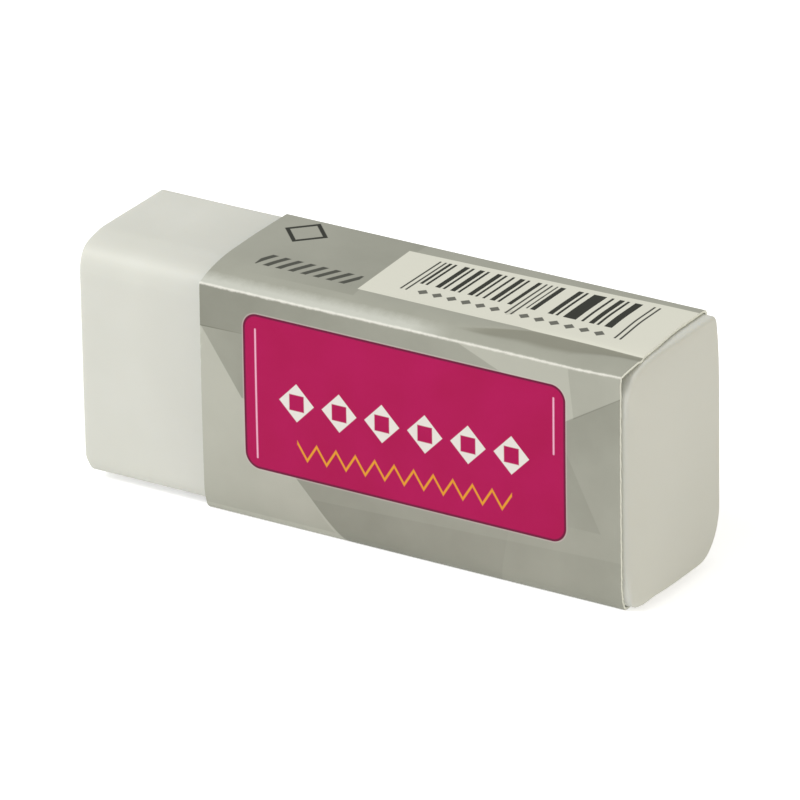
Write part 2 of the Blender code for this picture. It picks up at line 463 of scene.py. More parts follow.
def make_vinyl():
    """White with a drift from a broad noise, greyed towards the sleeve by painted shade over a span in mm.

    A grain of GRAIN_SIZE mm moves only the bump.
    """
    made, tree, shader = new_material("pressed white vinyl")
    place = add_node(tree, "ShaderNodeTexCoord").outputs["Object"]
    drift, grain = (
        add_node(tree, "ShaderNodeTexNoise", {"Vector": place, "Scale": 1 / (size * MM), "Detail": detail})
        for size, detail in ((DRIFT_SIZE, 3.0), (GRAIN_SIZE, 2.0))
    )
    drifted = Measure(tree, drift.outputs["Fac"]).share(*DRIFT_SPAN)
    along = Measure(tree, add_node(tree, "ShaderNodeSeparateXYZ", {0: place}).outputs[0])
    # Painted shade that darkens the block towards the sleeve's edge.
    painted_shade = along.share(VINYL_SHADE_SPAN[0] * MM, VINYL_SHADE_SPAN[1] * MM) * VINYL_SHADE_MOST
    colour = lay_over(tree, lay_over(tree, VINYL_WHITE, VINYL_SHADE, drifted), VINYL_PAINTED_SHADE, painted_shade)
    bump = add_node(
        tree, "ShaderNodeBump",
        {"Height": grain.outputs["Fac"], "Strength": 0.12, "Distance": GRAIN_DEPTH * MM},
    )
    connect(tree, shader, {
        "Base Color": colour,
        "Normal": bump.outputs["Normal"],
        "Roughness": 0.56,
        "IOR": 1.53,
        "Subsurface Weight": 0.25,
        "Subsurface Radius": (1.0, 0.9, 0.75),
        "Subsurface Scale": 0.8 * MM,
    })
    return made


vinyl_block.data.materials.append(make_vinyl())
print("vinyl drifts over", DRIFT_SIZE, "mm, with a grain of", GRAIN_SIZE, "mm")

# %% [markdown]
# ## The section of the sleeve
#
# The sleeve is a strip of card bent round the block. Its outer line starts at the free edge of the lap
# panel underneath, turns up into the bowed front panel, folds sharply at the crease, slopes up to the
# block's round shoulder, runs along the top, down the back and ends in the flap inside the lap. A real
# strip is one sheet, so it is modelled as one line of points, and not as a box with a wall.

# %% Sizes of the card, mm
CARD_THICKNESS = 0.18
LOOSENESS = 0.02
LAP_EDGE_SETBACK = 0.7
LOWER_ROUND = (0.6, 2.2)
CREASE_RADIUS = 0.1
CREASE_TURN = 60.0
CREASE_HEIGHT = 16.22
CREASE_CLIMBS = ((0.14, -12.0, 12.0), (0.12, 17.0, 20.8))
BRIDGE_SPAN = (-11.0, -1.0, 13.0, 21.0)
SHOULDER_PULL = (-3.9, -4.3)
SHOULDER_START = (-1.2, -3.0)
BACK_FOLD = 0.45
FLAP_FOLD = 0.35
FLAP_UNDERSIDE = 0.35
FLAP_WIDTH = 7.0

half_sleeve = half_block + LOOSENESS + CARD_THICKNESS
sleeve_top = block_top + LOOSENESS + CARD_THICKNESS
sleeve_start, sleeve_end = sleeve_low[0], sleeve_high[0]
print("card", CARD_THICKNESS, "mm thick, half width", round(float(half_sleeve), 2), "mm")


# %% Front panel and crease
def bowed(start, end, count):
    """A straight panel between two heights that bulges outwards as the block's side does."""
    line = stretch(start, end, count)
    line[..., 0] += np.sign(line[..., 0]) * side_bow(line[..., 1])
    return line


def crease_line(x):
    """The crease at each x: CREASE_HEIGHT, and each climb times the ease over its stretch of the length."""
    height = CREASE_HEIGHT + sum(climb * ease(x, start, end) for climb, start, end in CREASE_CLIMBS)
    return np.stack([np.full(x.shape, -half_sleeve), height], axis=-1)


# %% Line of the card's section
LAP_POINTS = 34
LOWER_POINTS = 30
FRONT_POINTS = 64
CREASE_POINTS = 5
SLOPE_POINTS = 44
TOP_PANEL_POINTS = 30
BACK_FOLD_POINTS = 10
BACK_PANEL_POINTS = 44
FLAP_FOLD_POINTS = 8
FLAP_POINTS = 20


def sleeve_section(x):
    """The card's outer line in Y and Z at each x, with the numbers of the front's first point and the crease.

    Near its ends the card lies on the block's round shoulder. In the middle it bridges the shoulder, and
    the flat top reaches further forwards. The share in_middle leads from the one to the other.
    """
    left, right = -half_sleeve, half_sleeve
    run, drop = LOWER_ROUND
    along = np.ones(x.shape)[:, None]
    crease = crease_line(x)
    turn = np.radians(CREASE_TURN)
    centre = crease + [CREASE_RADIUS, -CREASE_RADIUS]
    in_middle = rise_and_fall(x, *BRIDGE_SPAN)
    pull_y = SHOULDER_PULL[0] + (SHOULDER_PULL[1] - SHOULDER_PULL[0]) * in_middle
    flat_y = SHOULDER_START[0] + (SHOULDER_START[1] - SHOULDER_START[0]) * in_middle
    pull = np.stack([pull_y, sleeve_top - top_fall(pull_y)], axis=-1)
    flat_from = np.stack([flat_y, sleeve_top - top_fall(flat_y)], axis=-1)
    over = centre + CREASE_RADIUS * np.array([-np.cos(turn), np.sin(turn)])
    back_fold = (right - BACK_FOLD, sleeve_top - BACK_FOLD)
    flap_fold = (right - FLAP_FOLD, FLAP_UNDERSIDE + FLAP_FOLD)
    flap_end = (right - FLAP_WIDTH, FLAP_UNDERSIDE)
    lower = [
        stretch((right - LAP_EDGE_SETBACK, 0.0), (left + run, 0.0), LAP_POINTS),
        bend((left + run, drop), (run, drop), 270, 180, LOWER_POINTS),
    ]
    upper = [
        bowed(along * [left, drop], centre - [CREASE_RADIUS, 0.0], FRONT_POINTS),
        bend(centre, [CREASE_RADIUS] * 2, 180, 180 - CREASE_TURN, CREASE_POINTS),
        sweep(over, pull, flat_from, SLOPE_POINTS),
        stretch(flat_from, along * [right - BACK_FOLD, sleeve_top], TOP_PANEL_POINTS),
    ]
    behind = [
        bend(back_fold, (BACK_FOLD, BACK_FOLD), 90, 0, BACK_FOLD_POINTS),
        bowed((right, back_fold[1]), (right, flap_fold[1]), BACK_PANEL_POINTS),
        bend(flap_fold, (FLAP_FOLD, FLAP_FOLD), 360, 270, FLAP_FOLD_POINTS),
        stretch((flap_fold[0], FLAP_UNDERSIDE), flap_end, FLAP_POINTS),
        np.array([flap_end]),
    ]
    level = along[..., None]
    parts = [*(level * part for part in lower), *upper, *(level * part for part in behind)]
    front_index = LAP_POINTS + LOWER_POINTS
    crease_index = front_index + FRONT_POINTS + CREASE_POINTS // 2 + 1
    return np.concatenate(parts, axis=-2), front_index, crease_index


# %% [markdown]
# ## The folded card
#
# The section is worked out at each place along X, and the card's thickness goes inwards along its
# normal. Real card isn't a perfect fold: the crease climbs towards the right, the loose strip beside it
# is dented near the right-hand end, and the knife leaves a slightly rough edge. The place of each point
# on the flat sheet is its distance along the section from a level line of the front panel, so the print
# isn't stretched by any of this.

# %% Cut edges of the card, mm
LENGTH_STATIONS = 130
EDGE_SHARES = np.array([0.12, 0.5, 0.88])
EDGE_ROUND = 0.03
CUT_ROUGHNESS = 0.02


def edge_profile():
    """Closed loop round the sheet's section along X: places along X and depths into the card.

    The outer face runs from left to right, then the cut edge with eased corners, then the inner face
    back to the left, and the left cut edge. The cut edge bulges by one minus a fourth power.
    """
    inner = EDGE_SHARES * CARD_THICKNESS
    bulge = EDGE_ROUND * (1 - (2 * EDGE_SHARES - 1) ** 4)
    outer_x = np.linspace(sleeve_start + EDGE_ROUND, sleeve_end - EDGE_ROUND, LENGTH_STATIONS)
    x = np.concatenate([outer_x, outer_x[-1] + bulge, outer_x[::-1], outer_x[0] - bulge[::-1]])
    thick = np.full(LENGTH_STATIONS, CARD_THICKNESS)
    depth = np.concatenate([np.zeros(LENGTH_STATIONS), inner, thick, inner[::-1]])
    return x, depth


def cut_roughness(v):
    """How far the knife's edge strays along the cut: two sines that beat, and half of a finer one."""
    return CUT_ROUGHNESS * (np.sin(9.1 * v) * np.sin(3.7 * v + 1.0) + 0.5 * np.sin(23.0 * v))


def closing_faces(rows, columns):
    """Faces over the card's two free long edges: a strip of quads, and a small face at each of its ends."""
    faces = []
    inner_start = LENGTH_STATIONS + len(EDGE_SHARES)
    across = np.arange(len(EDGE_SHARES) + 2)
    outer = np.arange(LENGTH_STATIONS)
    inner = inner_start + LENGTH_STATIONS - 1 - outer
    strip = np.stack([outer[:-1], outer[1:], inner[1:], inner[:-1]], axis=-1)
    ends = (LENGTH_STATIONS - 1 + across, (inner_start + LENGTH_STATIONS - 1 + across) % columns)
    for row, way in ((0, -1), (rows - 1, 1)):
        faces += (row * columns + strip[:, ::way]).tolist()
        faces += [(row * columns + end[::way]).tolist() for end in ends]
    return faces


# %% Bows and dent of the card, mm
SHEET_ZERO = 15.0
BOW_REACH = (-0.6, 2.0, 3.2, 7.5)
LEFT_BOW = 0.12
LEFT_BOW_SPAN = (0.25, 0.0)
RIGHT_BOW = 0.3
RIGHT_BOW_SPAN = (0.6, 1.0)
DENT_DEPTH = 0.1
DENT_ALONG = (7.2, 10.0)
DENT_SLOPES = (-0.3, 0.6, 0.75, 1.3)
# Where the painted shade of the dent rises and falls across it.
DENT_SHADE_EDGES = (-0.15, 0.3, 0.97, 1.05)
DENT_TOP = ((7.2, 8.0, 10.0, 12.3, 15.0, 20.4), (2.37, 2.47, 3.12, 3.77, 3.84, 3.84))
DENT_LOW = ((7.2, 10.0, 12.0, 14.0, 15.9, 17.9, 19.2, 20.4), (2.27, 2.27, 2.37, 2.29, 2.42, 3.02, 3.27, 3.32))


def sheet_places(section, front_index):
    """Distance across the sheet, for each point of each section, from the height SHEET_ZERO in front."""
    steps = np.linalg.norm(np.diff(section, axis=1), axis=-1)
    across = np.concatenate([np.zeros((len(section), 1)), np.cumsum(steps, axis=1)], axis=1)
    front = slice(front_index, front_index + FRONT_POINTS)
    nearest = [np.interp(SHEET_ZERO, line[front, 1], place[front]) for line, place in zip(section, across)]
    return across - np.array(nearest)[:, None]


def bow_ends(x, from_crease):
    """How far the ends bow along X over the slope: each bow times its ease along the length, times a hill."""
    share = (x - sleeve_start) / (sleeve_end - sleeve_start)
    bow = LEFT_BOW * ease(share, *LEFT_BOW_SPAN) + RIGHT_BOW * ease(share, *RIGHT_BOW_SPAN)
    return rise_and_fall(from_crease, *BOW_REACH) * bow


# %% Make the sleeve
def make_sleeve():
    """The sheet's grid: a loop of stations for each point of the section, pushed in by its depth.

    It carries two values for its material: the place on the flat sheet with the depth as a share of the
    thickness, and the distance from the crease with the share of the dent, which gets painted shade.
    """
    x_line, depth_line = edge_profile()
    section, front_index, crease_index = sleeve_section(x_line)
    v = sheet_places(section, front_index).T
    from_crease = v - v[crease_index]
    x = np.broadcast_to(x_line, v.shape)
    points = np.concatenate([x[..., None], section.transpose(1, 0, 2)], axis=-1)
    points[..., 0] += bow_ends(x, from_crease)
    dent_low = np.interp(x, *DENT_LOW)
    into = (v - dent_low) / (np.interp(x, *DENT_TOP) - dent_low)
    along_dent = ease(x, *DENT_ALONG)
    # Share of painted shade in the dent, for the material.
    dent = rise_and_fall(into, *DENT_SHADE_EDGES) * along_dent
    points[..., 2] -= DENT_DEPTH * rise_and_fall(into, *DENT_SLOPES) * along_dent
    normal = np.cross(np.gradient(points, axis=0), np.array([1.0, 0.0, 0.0]))
    normal /= np.linalg.norm(normal, axis=-1, keepdims=True)
    points += depth_line[None, :, None] * normal
    at_end = ((depth_line > 0) & (depth_line < CARD_THICKNESS))[None, :]
    points[..., 0] += np.where(at_end, cut_roughness(v) * np.sign(x - (sleeve_start + sleeve_end) / 2), 0.0)
    faces = grid_faces(*v.shape) + closing_faces(*v.shape)
    piece = make_piece("card_wrap", points.reshape(-1, 3), faces, 32)
    depth = np.broadcast_to(depth_line / CARD_THICKNESS, x.shape)
    add_point_values(piece, "sheet", np.stack([x, v, depth], axis=-1).reshape(-1, 3))
    add_point_values(piece, "fold", np.stack([from_crease, dent, np.zeros_like(v)], axis=-1).reshape(-1, 3))
    print("sheet from", round(float(v.min()), 1), "to", round(float(v.max()), 1), "mm across")
    return piece


card_wrap = make_sleeve()
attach(card_wrap, "sleeve")
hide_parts("card_sleeve")

# %% [markdown]
# ## How the print is drawn
#
# The sheet was printed flat and folded afterwards, so the print is drawn on the flat sheet too: the
# mesh carries for each point its place on the sheet in millimetres, x along the eraser and v across it,
# upwards from a level line of the front panel, and its depth in the card. A picture laid on the card
# would blur from close by, so each shape is a distance instead, and a share of ink is worked out from
# it. Inks are then laid over one another, as a press lays them.

# %% Shapes on the sheet
PRINT_SOFTNESS = 0.06
FIELD_SOFTNESS = 0.04
ROW_BEFORE = 100


def line_distance(tree, sheet, start, end):
    """Signed distance from the line through start and end, positive to the left of the way to end."""
    way = np.array(end, float) - np.array(start, float)
    normal = np.array([-way[1], way[0], 0.0]) / np.hypot(*way)
    offset = float(normal[0] * start[0] + normal[1] * start[1])
    along = add_node(tree, "ShaderNodeVectorMath", {0: sheet, 1: normal.tolist()}, operation="DOT_PRODUCT")
    return Measure(tree, along.outputs["Value"]) - offset


def box_distance(tree, sheet, centre, half_size, radius):
    """Distance from a box with round corners, negative in it.

    It is the length of the greatest of |place - centre| - half size + radius and 0, less the radius.
    """
    place = sheet
    core = (half_size[0] - radius, half_size[1] - radius, 0.0)
    for operation, inputs in (
        ("MULTIPLY", {1: (1.0, 1.0, 0.0)}),
        ("SUBTRACT", {1: (*centre, 0.0)}),
        ("ABSOLUTE", {}),
        ("SUBTRACT", {1: core}),
        ("MAXIMUM", {1: (0.0, 0.0, 0.0)}),
    ):
        place = add_node(tree, "ShaderNodeVectorMath", {0: place, **inputs}, operation=operation).outputs[0]
    length = add_node(tree, "ShaderNodeVectorMath", {0: place}, operation="LENGTH").outputs["Value"]
    return Measure(tree, length) - radius


def repeated(x, centre, pitch):
    """Distance from the nearest mark of a row: x folded back and forth, from ROW_BEFORE marks before."""
    return (x - (centre - ROW_BEFORE * pitch)).step("PINGPONG", pitch / 2)


def inside(distance, softness=PRINT_SOFTNESS, gain=0.0):
    """Share of ink in a shape: 1 below the gain, 0 above it, with a slope as wide as the softness."""
    return distance.share(gain + softness / 2, gain - softness / 2)


def beyond(distance, softness=PRINT_SOFTNESS):
    """Share beyond a line: 1 above 0, 0 below it, with a slope as wide as the softness."""
    return distance.share(-softness / 2, softness / 2)


# %% [markdown]
# ## The silver ground
#
# The ground is a silver ink over the whole sheet, printed with large overlapping facets: each is darkest
# along one straight edge and fades away from it. A facet is given by its corners on the sheet, turning
# left all the way round, by how much darker it is along the edge between the first two, and how far it
# fades. The broadest fades also stand in for the silver's reflection changing across the panel, so they
# are partly painted light. The crease parts the facets in front from those on top and behind, and the
# top and back carry a flat painted shade as well.

# %% Silver ink
SILVER = "#BBBCB0"
SILVER_DARK = "#7D7E72"
# Painted shade: one flat share of darkness on the top and back, where the silver reflects less light.
TOP_PAINTED_SHADE = 0.42
CLOUD_SCALE = 0.3
CLOUD_SPAN = (0.3, 0.7)
CLOUD_STRENGTH = 0.1
# Printed facets; the broadest fades are also painted light, for the silver's reflection across the panel.
FRONT_FACETS = (
    # corners, strength along the edge between the first two, fade in mm
    (((-8.0, -6.3), (-8.0, -1.73), (-11.72, -1.78), (-8.6, -6.3)), 0.61, 13.0),
    (((-12.0, 2.6), (-12.0, -1.84), (-8.0, -1.73), (11.8, -0.25), (6.0, 2.1)), 0.75, 49.0),
    (((16.3, 2.6), (16.9, -2.2), (21.0, 0.25), (21.0, 2.6)), 0.26, 12.0),
    (((20.9, 0.25), (14.5, -3.53), (11.93, -11.05), (11.0, -15.7), (21.0, -17.0)), 0.47, 60.0),
    (((20.9, 0.25), (14.5, -3.53), (14.5, -8.0), (20.9, -4.0)), 0.13, 3.5),
    (((18.9, -9.8), (16.2, -4.4), (15.0, -4.4), (15.0, -9.8)), 0.13, 3.5),
    (((-4.6, -11.0), (-0.2, -15.7), (11.0, -15.7), (11.93, -11.05)), 0.64, 45.0),
    (((21.0, -11.5), (-3.4, -12.4), (-0.2, -15.9), (21.0, -15.9)), 0.09, 9.0),
    (((-12.0, -14.5), (0.0, -14.5), (-4.6, -10.9), (-7.0, -8.0), (-12.0, -8.0)), 0.22, 6.0),
)
BACK_FACETS = (
    (((-0.8, 3.0), (-0.8, 12.4), (-12.0, 12.4), (-12.0, 3.0)), 0.16, 9.0),
    (((-8.0, 17.5), (0.0, 27.5), (-12.0, 31.0), (-12.0, 17.5)), 0.40, 9.0),
    (((14.0, 25.5), (6.0, 13.5), (21.0, 12.5), (21.0, 25.5)), 0.36, 10.0),
)


def facet(tree, sheet, corners, strength, fade):
    """Inside the corners, strength times one minus the distance from the first edge over the fade."""
    edges = [line_distance(tree, sheet, *pair) for pair in zip(corners, corners[1:] + corners[:1])]
    return beyond(least(*edges)) * edges[0].share(fade, 0.0) * strength


def silver_ground(tree, sheet, beyond_crease):
    """Silver darkened by a cloud and the facets on this side of the crease, and beyond it by painted shade.
    """
    front = sum(facet(tree, sheet, *values) for values in FRONT_FACETS)
    back = sum(facet(tree, sheet, *values) for values in BACK_FACETS) + TOP_PAINTED_SHADE
    cloud = add_node(tree, "ShaderNodeTexNoise", {"Vector": sheet, "Scale": CLOUD_SCALE, "Detail": 3.0})
    uneven = (Measure(tree, cloud.outputs["Fac"]).share(*CLOUD_SPAN) - 0.5) * CLOUD_STRENGTH
    dark = front * beyond_crease.share(1.0, 0.0) + back * beyond_crease + uneven
    return lay_over(tree, SILVER, SILVER_DARK, dark)


# %% [markdown]
# ## The magenta panel
#
# The wide panel carries a magenta field with round corners, a thin darker rim and two pale upright
# lines. On it are a row of white diamonds with square holes and a thin amber zigzag. They stand for
# nothing: the sizes and colours are those of a printed panel, the motifs are only plain shapes.

# %% Motifs of the panel
MOTIF_ROW = (3.95, -5.75)
MOTIF_COUNT = 6
MOTIF_PITCH = 3.3
MOTIF_HALF = 1.35
HOLE_HALF = 0.567
MOTIF_REACH = 3.0
ZIGZAG_ROW = -9.1
ZIGZAG_PITCH = 1.5
ZIGZAG_HEIGHT = 1.15
ZIGZAG_WIDTH = 0.13
ZIGZAG_REACH = (8.25, 2.0)


def white_diamonds(tree, sheet, x, v):
    """Distance from diamonds, |x| + |v| less a half diagonal, with square holes, in the row's box."""
    across = repeated(x, MOTIF_ROW[0] + MOTIF_PITCH / 2, MOTIF_PITCH)
    upward = abs(v - MOTIF_ROW[1])
    diamond = across + upward - MOTIF_HALF
    hole = greatest(across, upward) - HOLE_HALF
    row = box_distance(tree, sheet, MOTIF_ROW, (MOTIF_COUNT * MOTIF_PITCH / 2, MOTIF_REACH), 0.1)
    return greatest(diamond, hole * -1.0, row)


def amber_zigzag(tree, sheet, x, v):
    """Distance from a folded line: |climb - height| over the slope's length, less half the line's width."""
    steepness = 2 * ZIGZAG_HEIGHT / ZIGZAG_PITCH
    climb = repeated(x, MOTIF_ROW[0], ZIGZAG_PITCH) * steepness
    height = v - (ZIGZAG_ROW - ZIGZAG_HEIGHT / 2)
    line = abs(climb - height) * (1 / math.hypot(1.0, steepness)) - ZIGZAG_WIDTH / 2
    return greatest(line, box_distance(tree, sheet, (MOTIF_ROW[0], ZIGZAG_ROW), ZIGZAG_REACH, 0.05))


# %% Magenta field
MAGENTA = "#B00553"
MAGENTA_DEEP = "#AA034B"
MAGENTA_PALE = "#B60B5B"
FIELD_CLOUD_SCALE = 0.25
FIELD_CLOUD_SPAN = (0.3, 0.75)
RIM = "#620E36"
RIM_SPAN = (-0.2, -0.12)
RIM_STRENGTH = 0.9
BARE_LINE = "#DDC3C5"
BARE_SPAN = (0.11, 0.06)
BARE_STRENGTH = 0.4
PALE_PINK = "#F0B4CE"
OFF_WHITE = "#E9E6DF"
AMBER = "#E9A12E"
INK_GAIN = 0.01
PANEL_CENTRE = (3.95, -5.61)
PANEL_HALF = (12.35, 5.49)
PANEL_RADIUS = 1.1
UPRIGHT_HALF = 0.055
UPRIGHTS = (((-7.45, -5.75), 4.6), ((15.4, -3.0), 2.0))


def print_panel(tree, ground, sheet, x, v):
    """Lays on the field, its rim, the upright lines, the diamonds and the zigzag, in this order."""
    edge = box_distance(tree, sheet, PANEL_CENTRE, PANEL_HALF, PANEL_RADIUS)
    cloud = add_node(tree, "ShaderNodeTexNoise", {"Vector": sheet, "Scale": FIELD_CLOUD_SCALE, "Detail": 1.0})
    clouded = Measure(tree, cloud.outputs["Fac"]).share(*FIELD_CLOUD_SPAN)
    field = lay_over(tree, MAGENTA, lay_over(tree, MAGENTA_DEEP, MAGENTA_PALE, clouded), 0.5)
    field = lay_over(tree, field, RIM, edge.share(*RIM_SPAN) * RIM_STRENGTH)
    lines = least(*(
        box_distance(tree, sheet, place, (UPRIGHT_HALF, half), UPRIGHT_HALF) for place, half in UPRIGHTS
    ))
    field = lay_over(tree, field, PALE_PINK, inside(lines, gain=INK_GAIN))
    field = lay_over(tree, field, OFF_WHITE, inside(white_diamonds(tree, sheet, x, v)))
    field = lay_over(tree, field, AMBER, inside(amber_zigzag(tree, sheet, x, v), gain=INK_GAIN))
    ground = lay_over(tree, ground, BARE_LINE, edge.share(*BARE_SPAN) * BARE_STRENGTH)
    return lay_over(tree, ground, field, inside(edge, FIELD_SOFTNESS))


# %% [markdown]
# ## The pale field with bars
#
# On the top a pale field holds upright bars, with a row of small diamonds below them. The bars are only
# a pattern: a strip of the width of one module is dark when a steadily turning share of its number is
# below a limit that itself rises and falls, so thin and broad bars take turns. Three pairs of thin bars
# reach further down. Left of the field stand a diamond outline and a row of slanted strokes.

# %% Bars of the pale field
BAR_MODULE = 0.19
BAR_TURN = 0.31
BAR_SHARE = 0.47
BAR_SWING = 0.27
BAR_BEAT = 0.83
BARS_ENDS = (2.05, 17.15)
BARS_LOW = 6.57
BARS_REACH = 5.0
BAR_CORNER = 0.02
GUARD_PLACES = (9.6, 8.0)
GUARD_OFFSET = 0.2
GUARD_HALF = 0.07
GUARD_LOW = 5.27
GUARD_CLEAR = 0.55


def upright_bars(tree, sheet, x):
    """1 in the modules, numbered n, where the fraction of turn * n is below share + swing * sin(beat * n).

    The bars keep inside their box, and clear of the middle pair of thin bars.
    """
    number = x.step("DIVIDE", BAR_MODULE).step("FLOOR")
    turned = (number * BAR_TURN).step("FRACT")
    dark = turned.step("LESS_THAN", (number * BAR_BEAT).step("SINE") * BAR_SWING + BAR_SHARE)
    middle = ((BARS_ENDS[0] + BARS_ENDS[1]) / 2, BARS_LOW + BARS_REACH)
    half_size = ((BARS_ENDS[1] - BARS_ENDS[0]) / 2, BARS_REACH)
    box = box_distance(tree, sheet, middle, half_size, BAR_CORNER)
    kept_clear = (GUARD_CLEAR, BARS_REACH + 1.0)
    clear = box_distance(tree, sheet, (GUARD_PLACES[0], middle[1]), kept_clear, BAR_CORNER)
    return dark * inside(box, FIELD_SOFTNESS) * beyond(clear, FIELD_SOFTNESS)


def guard_bars(tree, sheet, x):
    """1 on three pairs of thin bars, each bar at GUARD_OFFSET from the middle of its pair."""
    first, pitch = GUARD_PLACES
    pair = abs(repeated(x, first, pitch) - GUARD_OFFSET) - GUARD_HALF
    box = box_distance(tree, sheet, (first, GUARD_LOW + BARS_REACH), (pitch + 0.5, BARS_REACH), BAR_CORNER)
    return inside(pair) * inside(box, FIELD_SOFTNESS)


# %% Pale field
FIELD_PALE = "#DFDFD2"
BAR_DARK = "#2C2E26"
FIELD_LEFT = ((-1.35, 10.67), (-1.0, 3.82))
FIELD_LOW = ((0.0, 3.84), (20.0, 3.84))
FIELD_HIGH = ((20.4, 11.37), (-1.35, 10.67))
BARS_TOP_GAP = 0.55
SMALL_ROW = (9.6, 5.47)
SMALL_PITCH = 1.1
SMALL_COUNT = 6
SMALL_HALF = 0.4


def small_diamonds(tree, sheet, x, v):
    """Distance from a row of diamonds that leaves out the middle one."""
    diamond = repeated(x, SMALL_ROW[0], SMALL_PITCH) + abs(v - SMALL_ROW[1]) - SMALL_HALF
    row, gap = (
        box_distance(tree, sheet, SMALL_ROW, (half * SMALL_PITCH, 1.0), BAR_CORNER)
        for half in (SMALL_COUNT + 0.5, 0.5)
    )
    return greatest(diamond, row, gap * -1.0)


def print_bars(tree, ground, sheet, x, v):
    """Lays on the field between three lines, the bars below a gap under its top, and the diamonds."""
    edges = [line_distance(tree, sheet, *line) for line in (FIELD_LEFT, FIELD_LOW, FIELD_HIGH)]
    colour = lay_over(tree, ground, FIELD_PALE, beyond(least(*edges), FIELD_SOFTNESS))
    below_gap = beyond(edges[2] - BARS_TOP_GAP)
    colour = lay_over(tree, colour, BAR_DARK, upright_bars(tree, sheet, x) * below_gap)
    colour = lay_over(tree, colour, BAR_DARK, guard_bars(tree, sheet, x) * below_gap)
    return lay_over(tree, colour, BAR_DARK, inside(small_diamonds(tree, sheet, x, v)))


# %% Dark motifs on the top
OUTLINE_PLACE = (-8.9, 9.8)
OUTLINE_HALF = 1.5
OUTLINE_WIDTH = 0.4
STROKES_PLACE = (-5.5, 4.9)
STROKES_SPAN = (3.8, 0.8)
STROKE_PITCH = 1.0
STROKE_HALF = 0.23
STROKE_SLANT = 0.5
TOP_SOFTNESS = 0.07
TOP_GAIN = 0.005


def print_top_motifs(tree, ground, sheet, x, v):
    """Lays on a diamond outline, and strokes whose places along x lean by STROKE_SLANT times v."""
    diamond = abs(x - OUTLINE_PLACE[0]) + abs(v - OUTLINE_PLACE[1]) - OUTLINE_HALF
    outline = abs(diamond) - OUTLINE_WIDTH / 2
    strokes = repeated(x - v * STROKE_SLANT, STROKES_PLACE[0], STROKE_PITCH) - STROKE_HALF
    strokes = greatest(strokes, box_distance(tree, sheet, STROKES_PLACE, STROKES_SPAN, BAR_CORNER))
    return lay_over(tree, ground, BAR_DARK, inside(least(outline, strokes), TOP_SOFTNESS, TOP_GAIN))


# %% [markdown]
# ## Worn folds, cut edges and painted light
#
# Ink cracks where card is folded sharply, and white fibres show in a ragged line. The knife's edge is
# white too, because the card is only printed on its face. The worn line follows the crease, and its
# width comes from noise, so it is broken and jagged. Beyond the crease a pale band is a painted
# highlight, for the light that the pressed strip catches, and the dent is darkened with painted shade,
# where the sheet turns away from the light. The varnish over it all is satin, so the card shows soft
# highlights and no mirror images.

# %% Wear of the card, with its painted highlight and dent shade, mm
CARD_WHITE = "#ECEBE2"
CARD_INSIDE = "#EBEDE4"
# Painted highlight: a paler silver for the band beyond the crease that catches the light.
CREASE_PAINTED_HIGHLIGHT = "#CFD1C8"
# Painted shade: the dark colour laid in the dent, where the sheet turns away from the light.
DENT_PAINTED_SHADE = "#6F6D5C"
RAGGED_SCALE = 1.6
WEAR_WIDTH = 0.045
WEAR_SPREAD = 0.085
WEAR_SPAN = (0.35, 0.75)
WEAR_SOFTNESS = 0.12
WEAR_STRENGTH = 0.85
# Painted highlight beyond the crease: width, fade, span along x, ragged edge, share and strength.
CREASE_HIGHLIGHT_WIDTH = 0.8
CREASE_HIGHLIGHT_FADE = 0.8
CREASE_HIGHLIGHT_ALONG = (7.5, 4.5)
CREASE_HIGHLIGHT_RAGGED = 0.2
CREASE_HIGHLIGHT_SPAN = (0.35, 0.7)
CREASE_HIGHLIGHT_STRENGTH = 0.75
# Share of painted shade in the dent.
DENT_SHADE_STRENGTH = 0.45
BARE_DEPTH = (0.02, 0.1)
FIBRE_SCALE = 7.0
FIBRE_DEPTH = 0.01


def paint_crease_highlight(tree, colour, x, from_crease, beyond_crease, ragged):
    """Lays a painted highlight beyond the crease, over a width that noise varies and part of the length."""
    strayed = from_crease + (ragged.share(*CREASE_HIGHLIGHT_SPAN) - 0.5) * CREASE_HIGHLIGHT_RAGGED
    beside = inside(strayed - CREASE_HIGHLIGHT_WIDTH, CREASE_HIGHLIGHT_FADE)
    shown = beside * beyond_crease * x.share(*CREASE_HIGHLIGHT_ALONG)
    return lay_over(tree, colour, CREASE_PAINTED_HIGHLIGHT, shown * CREASE_HIGHLIGHT_STRENGTH)


def wear_crease(tree, colour, from_crease, ragged):
    """Lays on bare fibres where the distance from the crease is below a width that noise varies."""
    width = ragged.share(*WEAR_SPAN) * WEAR_SPREAD + WEAR_WIDTH
    worn = inside(abs(from_crease) - width, WEAR_SOFTNESS)
    return lay_over(tree, colour, CARD_WHITE, worn * WEAR_STRENGTH)


# %% Printed card
def stored_values(tree, name):
    """A vector that the mesh stores for each point, followed by its three numbers as measures."""
    vector = add_node(tree, "ShaderNodeAttribute", attribute_name=name).outputs["Vector"]
    numbers = add_node(tree, "ShaderNodeSeparateXYZ", {0: vector}).outputs
    return vector, *(Measure(tree, number) for number in numbers)


